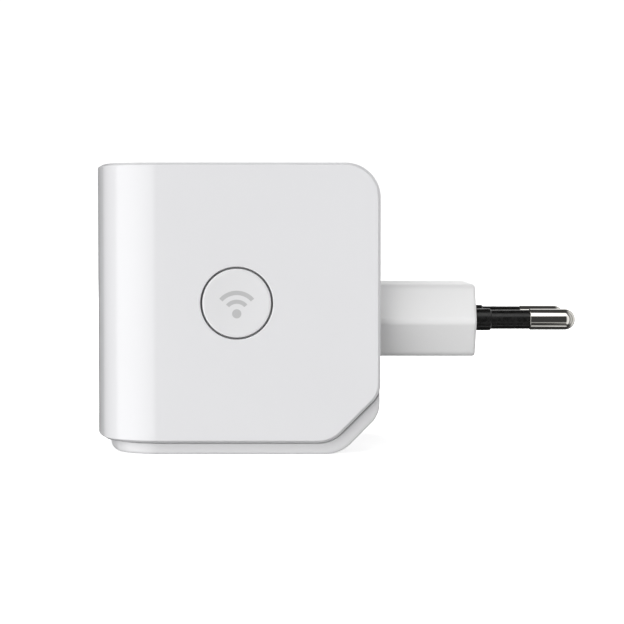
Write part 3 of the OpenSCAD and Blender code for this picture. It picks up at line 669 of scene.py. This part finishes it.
def button():
    """The round cap with its dished face, and the pictogram laid into it."""
    lo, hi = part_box("side_button")
    guide_lo, guide_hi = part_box("button_guide")
    cx, cz = (guide_lo.x + guide_hi.x) / 2, (guide_lo.z + guide_hi.z) / 2
    cap_r, edge = 6.35 * MM, 0.25 * MM
    rim = cap_r - edge
    flange_r = (hi.x - lo.x) / 2
    flange_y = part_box("wrap_cover")[0].y + COVER_WALL + 0.1 * MM

    def place(along, across, up):
        return cx + across, along, cz + up

    def face_y(r):
        return lo.y + BUTTON_DISH * (1 - (r / rim) ** 2)

    profile = [(face_y(rim * i / 14), rim * i / 14) for i in range(14)]
    profile += [(lo.y + edge * (1 - math.cos(a)), rim + edge * math.sin(a)) for a in quarter(6)]
    profile += [(flange_y, cap_r), (flange_y, flange_r), (flange_y + MM, flange_r),
                (flange_y + MM, 2 * MM), (hi.y, 2 * MM), (hi.y, 0)]
    cap = lathe("side_button_cap", profile, place, 128)
    settle_lathe(cap)
    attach(cap, "side_button")
    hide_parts("side_button")
    return cap, pictogram(cx, cz, face_y)


def pictogram(cx, cz, face_y):
    """A dot with two arcs above it, a thin inlay on the button's face."""
    proud, sunk = 0.012 * MM, 0.05 * MM
    foot = cz - 1.95 * MM
    verts, faces = [], []

    def strip(rings, closed):
        """A thin closed slab from matched rings of (x, z) points."""
        base = len(verts)
        n = len(rings[0])
        for lift in (-proud, sunk):
            for points in rings:
                for x, z in points:
                    r = math.hypot(x - cx, z - cz)
                    verts.append((x, face_y(r) + lift, z))
        rows = len(rings)

        def num(level, row, k):
            return base + (level * rows + row) * n + k % n
        last = n if closed else n - 1
        for k in range(last):
            for row in range(rows - 1):
                faces.append((num(0, row, k), num(0, row, k + 1),
                              num(0, row + 1, k + 1), num(0, row + 1, k)))
                faces.append((num(1, row, k), num(1, row + 1, k),
                              num(1, row + 1, k + 1), num(1, row, k + 1)))
            for row in (0, rows - 1):
                faces.append((num(0, row, k), num(0, row, k + 1),
                              num(1, row, k + 1), num(1, row, k)))
        if not closed:
            for k in (0, n - 1):
                for row in range(rows - 1):
                    faces.append((num(0, row, k), num(0, row + 1, k),
                                  num(1, row + 1, k), num(1, row, k)))

    dot = [[(cx + r * math.cos(2 * math.pi * k / 40), foot + r * math.sin(2 * math.pi * k / 40))
            for k in range(40)] for r in (0.02 * MM, 0.5 * MM, 0.85 * MM)]
    strip(dot, True)
    for inner, outer in ((1.85 * MM, 2.6 * MM), (3.45 * MM, 4.25 * MM)):
        angles = [math.radians(90 - 49 + 98 * k / 36) for k in range(37)]
        strip([[(cx + r * math.cos(a), foot + r * math.sin(a)) for a in angles]
               for r in (inner, (inner + outer) / 2, outer)], False)
    piece = add_object("button_pictogram", verts, faces)
    turn_outward(piece)
    piece.data.set_sharp_from_angle(angle=math.radians(40))
    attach(piece, "side_button")
    return piece


def spring():
    """The button's coil spring, between the button and its guide."""
    lo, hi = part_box("button_spring")
    cx, cz = (lo.x + hi.x) / 2, (lo.z + hi.z) / 2
    wire, turns, sides, steps = 0.225 * MM, 2.75, 10, 132
    coil_r = (hi.x - lo.x) / 2 - wire
    rise = hi.y - lo.y - 2 * wire
    verts, faces = [], []
    for i in range(steps + 1):
        a = 2 * math.pi * turns * i / steps
        outward = Vector((math.cos(a), 0, -math.sin(a)))
        middle = Vector((cx, lo.y + wire + rise * i / steps, cz)) + coil_r * outward
        for k in range(sides):
            b = 2 * math.pi * k / sides
            verts.append(middle + wire * (math.cos(b) * outward + Vector((0, math.sin(b), 0))))
    for i in range(steps):
        for k in range(sides):
            j = (k + 1) % sides
            faces.append((i * sides + k, i * sides + j, (i + 1) * sides + j, (i + 1) * sides + k))
    faces += [tuple(range(sides)), tuple(range(steps * sides, (steps + 1) * sides))]
    piece = add_object("button_spring_coil", verts, faces)
    turn_outward(piece)
    piece.data.set_sharp_from_angle(angle=math.radians(60))
    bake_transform(piece)
    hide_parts("button_spring")
    return piece


def light_pipe():
    """The clear rod whose end shows in the front."""
    lo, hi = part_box("light_pipe")
    cy, cz = (lo.y + hi.y) / 2, (lo.z + hi.z) / 2
    r = 1.5 * MM
    dome = [(lo.x + 0.25 * MM * (1 - math.cos(a)), r * math.sin(a)) for a in quarter(6)]
    collar = (hi.y - lo.y) / 2
    profile = dome + [(lo.x + 7.3 * MM, r), (lo.x + 7.3 * MM, collar),
                      (lo.x + 8.2 * MM, collar), (lo.x + 8.2 * MM, r), (hi.x, r), (hi.x, 0)]
    piece = lathe("light_pipe_rod", profile, lambda x, y, z: (x, cy + y, cz + z), 48)
    settle_lathe(piece)
    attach(piece, "housing")
    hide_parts("light_pipe")
    return piece


# ---------------------------------------------------------------- materials

def new_material(name, color, roughness, metallic=0.0):
    material = bpy.data.materials.new(name)
    material.use_nodes = True
    shader = material.node_tree.nodes["Principled BSDF"]
    shader.inputs["Base Color"].default_value = (*color, 1)
    shader.inputs["Roughness"].default_value = roughness
    shader.inputs["Metallic"].default_value = metallic
    return material, material.node_tree, shader


def noise(tree, scale, detail=3.0, stretch=(1, 1, 1)):
    """A noise texture in the object's own metres."""
    coords = tree.nodes.new("ShaderNodeTexCoord")
    mapping = tree.nodes.new("ShaderNodeMapping")
    mapping.inputs["Scale"].default_value = stretch
    texture = tree.nodes.new("ShaderNodeTexNoise")
    texture.inputs["Scale"].default_value = scale
    texture.inputs["Detail"].default_value = detail
    tree.links.new(coords.outputs["Object"], mapping.inputs["Vector"])
    tree.links.new(mapping.outputs["Vector"], texture.inputs["Vector"])
    return texture


def ramp(tree, source, low, high, start=0.3, end=0.7):
    """Maps a texture's value onto two colours or two greys."""
    node = tree.nodes.new("ShaderNodeValToRGB")
    node.color_ramp.elements[0].position = start
    node.color_ramp.elements[1].position = end
    node.color_ramp.elements[0].color = (*low, 1)
    node.color_ramp.elements[1].color = (*high, 1)
    tree.links.new(source, node.inputs["Fac"])
    return node.outputs["Color"]


def bump(tree, shader, source, strength, distance):
    node = tree.nodes.new("ShaderNodeBump")
    node.inputs["Strength"].default_value = strength
    node.inputs["Distance"].default_value = distance
    tree.links.new(source, node.inputs["Height"])
    tree.links.new(node.outputs["Normal"], shader.inputs["Normal"])


def varied(tree, shader, color, spread, scale, rough, rough_spread, stretch=(1, 1, 1)):
    """Slight variation of colour and roughness over a surface."""
    tint = noise(tree, scale, 4.0, stretch)
    low = tuple(max(0.0, c * (1 - spread)) for c in color)
    high = tuple(min(1.0, c * (1 + spread)) for c in color)
    tree.links.new(ramp(tree, tint.outputs["Fac"], low, high), shader.inputs["Base Color"])
    wear = noise(tree, scale * 3, 5.0, stretch)
    a, b = max(0.02, rough - rough_spread), min(1.0, rough + rough_spread)
    tree.links.new(ramp(tree, wear.outputs["Fac"], (a, a, a), (b, b, b)),
                   shader.inputs["Roughness"])


def gloss_plastic(name, color, rough=0.2, grain=0.0):
    """Moulded plastic: faint tone variation, fine orange peel and a clear gloss."""
    material, tree, shader = new_material(name, color, rough)
    varied(tree, shader, color, 0.006, 60, rough, 0.03)
    shader.inputs["IOR"].default_value = 1.47
    shader.inputs["Specular IOR Level"].default_value = 0.5
    fine = noise(tree, 5200 if grain else 900, 2.0)
    bump(tree, shader, fine.outputs["Fac"], 0.12 if grain else 0.02, 0.02 * MM if grain else 0.01 * MM)
    return material


def matte_plastic(name, color, rough=0.5, spread=0.06):
    material, tree, shader = new_material(name, color, rough)
    varied(tree, shader, color, spread, 400, rough, 0.08)
    fine = noise(tree, 6000, 2.0)
    bump(tree, shader, fine.outputs["Fac"], 0.15, 0.02 * MM)
    return material


def metal(name, color, rough, stretch=(1, 1, 1), grain=0.1):
    """Plated or drawn metal with fine marks along one direction."""
    material, tree, shader = new_material(name, color, rough, 1.0)
    varied(tree, shader, color, 0.04, 300, rough, rough * 0.35, stretch)
    marks = noise(tree, 2500, 3.0, stretch)
    bump(tree, shader, marks.outputs["Fac"], grain, 0.004 * MM)
    return material


def circuit_board(name, color, trace):
    """Solder mask over faint copper tracks."""
    material, tree, shader = new_material(name, color, 0.35)
    coords = tree.nodes.new("ShaderNodeTexCoord")
    tracks = tree.nodes.new("ShaderNodeTexVoronoi")
    tracks.feature = "DISTANCE_TO_EDGE"
    tracks.inputs["Scale"].default_value = 420
    tree.links.new(coords.outputs["Object"], tracks.inputs["Vector"])
    tree.links.new(ramp(tree, tracks.outputs["Distance"], trace, color, 0.06, 0.1),
                   shader.inputs["Base Color"])
    bump(tree, shader, tracks.outputs["Distance"], 0.2, 0.03 * MM)
    return material


def paint(materials):
    """Gives every carried-over CAD node its slot's material."""
    slots = {row["node"]: row["material_slot"] for row in frame["record"]["subparts"]}
    for name, node in frame["nodes"].items():
        node.data.materials.clear()
        node.data.materials.append(materials[slots[name]])


def make_materials():
    gray = (0.60, 0.60, 0.62)
    return {
        "cover_plastic": gloss_plastic("white_gloss", COVER_WHITE, 0.16),
        "housing_plastic": gloss_plastic("white_housing_painted_shade", HOUSING_WHITE_PAINTED_SHADE, 0.32),
        "plug_plastic": gloss_plastic("white_plug_painted_light", PLUG_WHITE_PAINTED_LIGHT, 0.3),
        "button_plastic": gloss_plastic("white_button", BUTTON_WHITE, 0.22),
        "screw_steel": metal("screw_zinc", (0.62, 0.62, 0.64), 0.32),
        "black_plastic": matte_plastic("black_nylon", (0.02, 0.02, 0.021)),
        "sleeve_plastic": matte_plastic("sleeve_black", (0.003, 0.0029, 0.0027), 0.28, 0.3),
        "pin_nickel": metal("pin_nickel_plate", (0.84, 0.82, 0.77), 0.07, (0.2, 1, 1), 0.03),
        "contact_brass": metal("brass_sheet", (0.75, 0.58, 0.26), 0.3),
        "spring_steel": metal("spring_wire", (0.62, 0.62, 0.63), 0.25),
        "light_pipe_clear": light_pipe_material(),
        "label_film": matte_plastic("label_grey", (0.52, 0.52, 0.525), 0.4, 0.02),
        "board_green": circuit_board("board_mask", (0.012, 0.10, 0.035), (0.03, 0.19, 0.07)),
        "board_tan": circuit_board("board_laminate", (0.42, 0.30, 0.14), (0.50, 0.36, 0.17)),
        "switch_plunger": matte_plastic("plunger_black", (0.03, 0.03, 0.03)),
        "shield_tin": metal("tin_plate", (0.68, 0.68, 0.67), 0.28),
        "chip_epoxy": matte_plastic("chip_black", (0.018, 0.018, 0.02), 0.6),
        "thermal_pad": matte_plastic("pad_grey_blue", (0.35, 0.44, 0.55), 0.8),
        "heat_sink_aluminium": metal("extruded_aluminium", (0.70, 0.70, 0.72), 0.38),
        "antenna_metal": metal("antenna_sheet", (0.78, 0.64, 0.34), 0.25),
        "led_lens": gloss_plastic("led_resin", (0.92, 0.88, 0.62), 0.15),
        "passive_ceramic": matte_plastic("ceramic_tan", (0.42, 0.30, 0.19), 0.5, 0.2),
        "ferrite": matte_plastic("ferrite_grey", (0.05, 0.05, 0.055), 0.65, 0.2),
        "bobbin_nylon": matte_plastic("nylon_natural", (0.66, 0.58, 0.42), 0.5),
        "winding_tape": gloss_plastic("tape_yellow", (0.80, 0.58, 0.05), 0.3),
        "can_sleeve": gloss_plastic("can_sleeve_blue", (0.02, 0.03, 0.09), 0.25),
        "fuse_glass": metal("fuse_caps", gray, 0.2),
        "choke_copper": metal("enamelled_copper", (0.62, 0.26, 0.10), 0.35, (1, 1, 1), 0.3),
        "disc_blue": gloss_plastic("epoxy_blue", (0.03, 0.13, 0.42), 0.3),
        "disc_orange": gloss_plastic("epoxy_orange", (0.70, 0.22, 0.03), 0.3),
        "insulation_film": gloss_plastic("film_clear_tan", (0.70, 0.68, 0.60), 0.35),
    }


def light_pipe_material():
    material, tree, shader = new_material("pipe_milky", (0.82, 0.84, 0.86), 0.25)
    varied(tree, shader, (0.82, 0.84, 0.86), 0.01, 200, 0.25, 0.04)
    shader.inputs["Subsurface Weight"].default_value = 0.4
    shader.inputs["Subsurface Radius"].default_value = (1, 1, 1)
    shader.inputs["Subsurface Scale"].default_value = 0.6 * MM
    return material


COVER_WHITE = (0.80, 0.80, 0.815)
# The housing's white is set below the cover's: painted shade, so the skirt and chamfer strip under the
# cover's edge read darker
HOUSING_WHITE_PAINTED_SHADE = (0.765, 0.765, 0.775)
# The plug's white is set above the cover's: painted light, so its lower facets read brighter
PLUG_WHITE_PAINTED_LIGHT = (0.90, 0.90, 0.90)
BUTTON_WHITE = (0.79, 0.79, 0.80)


def dress(piece, material):
    piece.data.materials.clear()
    piece.data.materials.append(material)


# ---------------------------------------------------------------- studio

def studio():
    """A white floor and backdrop, a room of soft boxes, and the camera."""
    floor_z = cad_lo.z
    reach = 3.0
    floor = add_object("floor", [(-reach, -reach, floor_z), (reach, -reach, floor_z),
                                 (reach, reach, floor_z), (-reach, reach, floor_z)],
                       [(0, 1, 2, 3)])
    material, tree, shader = new_material("floor_white", (0.9, 0.9, 0.9), 0.9)
    shader.inputs["Specular IOR Level"].default_value = 0.0
    varied(tree, shader, (0.9, 0.9, 0.9), 0.004, 8, 0.9, 0.05)
    shader.inputs["Emission Color"].default_value = (1, 1, 1, 1)
    shader.inputs["Emission Strength"].default_value = FLOOR_GLOW
    dress(floor, material)
    # The floor shows and takes shadows, and the soft boxes below light the object through it
    floor.visible_glossy = False
    floor.visible_diffuse = False
    floor.visible_shadow = False
    world_light()
    fill_lamp("far_side_fill", (-0.3, 0.65, 0.65), 6.0)
    fill_lamp("plug_side_fill", (0.8, 0.3, 0.25), 1.0)
    camera()


FLOOR_GLOW = 0.58
ROOM_GLOW = 0.05

# Soft boxes round the object: azimuth from -X toward -Y and elevation, in degrees,
# each as (from, to, softness of the edge), and strength
SOFT_BOXES = (
    ((-2, 83, 8), (-32, 37, 14), 1.92),      # key, at the front left
    ((-2, 83, 8), (-62, -32, 14), 0.72),     # the key's light off the table
    ((60, 128, 20), (36, 76, 8), 1.5),       # overhead, on the camera's side
    ((110, 140, 10), (-50, 36, 14), 0.9),    # right
    ((-125, -90, 10), (-5, 40, 10), 0.9),    # backdrop, straight behind
    ((88, 112, 6), (-37, -31, 3), 0.5),      # thin strips low down, for the metal
    ((70, 165, 6), (-79, -71, 3), 1.0),
    ((-175, -130, 20), (-40, 60, 30), 0.7),  # behind, on the right
    ((150, 178, 20), (-40, 60, 30), 0.55),   # behind the pins
)


def fill_lamp(name, place, energy):
    """A dim lamp for the sides that the camera doesn't see; it shows in no reflection."""
    data = bpy.data.lights.new(name, "AREA")
    data.size = 0.6
    data.energy = energy
    lamp = bpy.data.objects.new(name, data)
    lamp.location = place
    lamp.rotation_mode = "QUATERNION"
    lamp.rotation_quaternion = (-lamp.location).to_track_quat("-Z", "Y")
    lamp.visible_glossy = False
    bpy.context.scene.collection.objects.link(lamp)


def world_light():
    """White to the camera, and a dark room with soft boxes to everything else."""
    world = bpy.data.worlds.new("studio")
    bpy.context.scene.world = world
    world.use_nodes = True
    tree = world.node_tree
    tree.nodes.clear()

    def math_node(operation, a, b):
        node = tree.nodes.new("ShaderNodeMath")
        node.operation = operation
        for socket, value in zip(node.inputs, (a, b)):
            if isinstance(value, (int, float)):
                socket.default_value = value
            else:
                tree.links.new(value, socket)
        return node.outputs["Value"]

    def ease(value, low, high):
        node = tree.nodes.new("ShaderNodeMapRange")
        node.interpolation_type = "SMOOTHSTEP"
        node.inputs["From Min"].default_value = math.radians(low)
        node.inputs["From Max"].default_value = math.radians(high)
        tree.links.new(value, node.inputs["Value"])
        return node.outputs["Result"]

    def window(value, low, high, soft):
        return math_node("MULTIPLY", ease(value, low - soft / 2, low + soft / 2),
                         ease(value, high + soft / 2, high - soft / 2))

    coords = tree.nodes.new("ShaderNodeTexCoord")
    split = tree.nodes.new("ShaderNodeSeparateXYZ")
    tree.links.new(coords.outputs["Generated"], split.inputs["Vector"])
    azimuth = math_node("ARCTAN2", math_node("MULTIPLY", split.outputs["Y"], -1.0),
                        math_node("MULTIPLY", split.outputs["X"], -1.0))
    elevation = math_node("ARCSINE", split.outputs["Z"], 0.0)
    glow = ROOM_GLOW
    for across, upward, strength in SOFT_BOXES:
        box = math_node("MULTIPLY", window(azimuth, *across), window(elevation, *upward))
        glow = math_node("ADD", math_node("MULTIPLY", box, float(strength)), glow)
    room = tree.nodes.new("ShaderNodeBackground")
    tree.links.new(glow, room.inputs["Strength"])
    seen = tree.nodes.new("ShaderNodeBackground")
    seen.inputs["Strength"].default_value = 1.1
    path = tree.nodes.new("ShaderNodeLightPath")
    mix = tree.nodes.new("ShaderNodeMixShader")
    tree.links.new(path.outputs["Is Camera Ray"], mix.inputs["Fac"])
    tree.links.new(room.outputs["Background"], mix.inputs[1])
    tree.links.new(seen.outputs["Background"], mix.inputs[2])
    out = tree.nodes.new("ShaderNodeOutputWorld")
    tree.links.new(mix.outputs["Shader"], out.inputs["Surface"])
    for node in (room, seen):
        node.inputs["Color"].default_value = (1, 1, 1, 1)


def camera():
    """Level with the case, 390 mm in front of the plug's middle plane."""
    data = bpy.data.cameras.new("camera")
    data.sensor_width = 36
    data.lens = 114.75
    cam = bpy.data.objects.new("camera", data)
    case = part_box("wrap_cover")[1]
    cam.location = (case.x - 12.65 * MM, -390 * MM, case.z - 12.4 * MM)
    cam.rotation_euler = (math.radians(90 - 2.36), 0, 0)
    bpy.context.scene.collection.objects.link(cam)
    bpy.context.scene.camera = cam
    bpy.context.scene.view_settings.view_transform = "Standard"


# ---------------------------------------------------------------- building

materials = make_materials()
paint(materials)
dress(wrap_cover(), materials["cover_plastic"])
dress(rear_housing(), materials["housing_plastic"])
for part in plug_block():
    dress(part, materials["plug_plastic"])
for part in pins():
    dress(part, materials["pin_nickel" if part.name.endswith("_metal") else "sleeve_plastic"])
cap, mark = button()
dress(cap, materials["button_plastic"])
dress(mark, materials["label_film"])
dress(spring(), materials["spring_steel"])
dress(light_pipe(), materials["light_pipe_clear"])
studio()
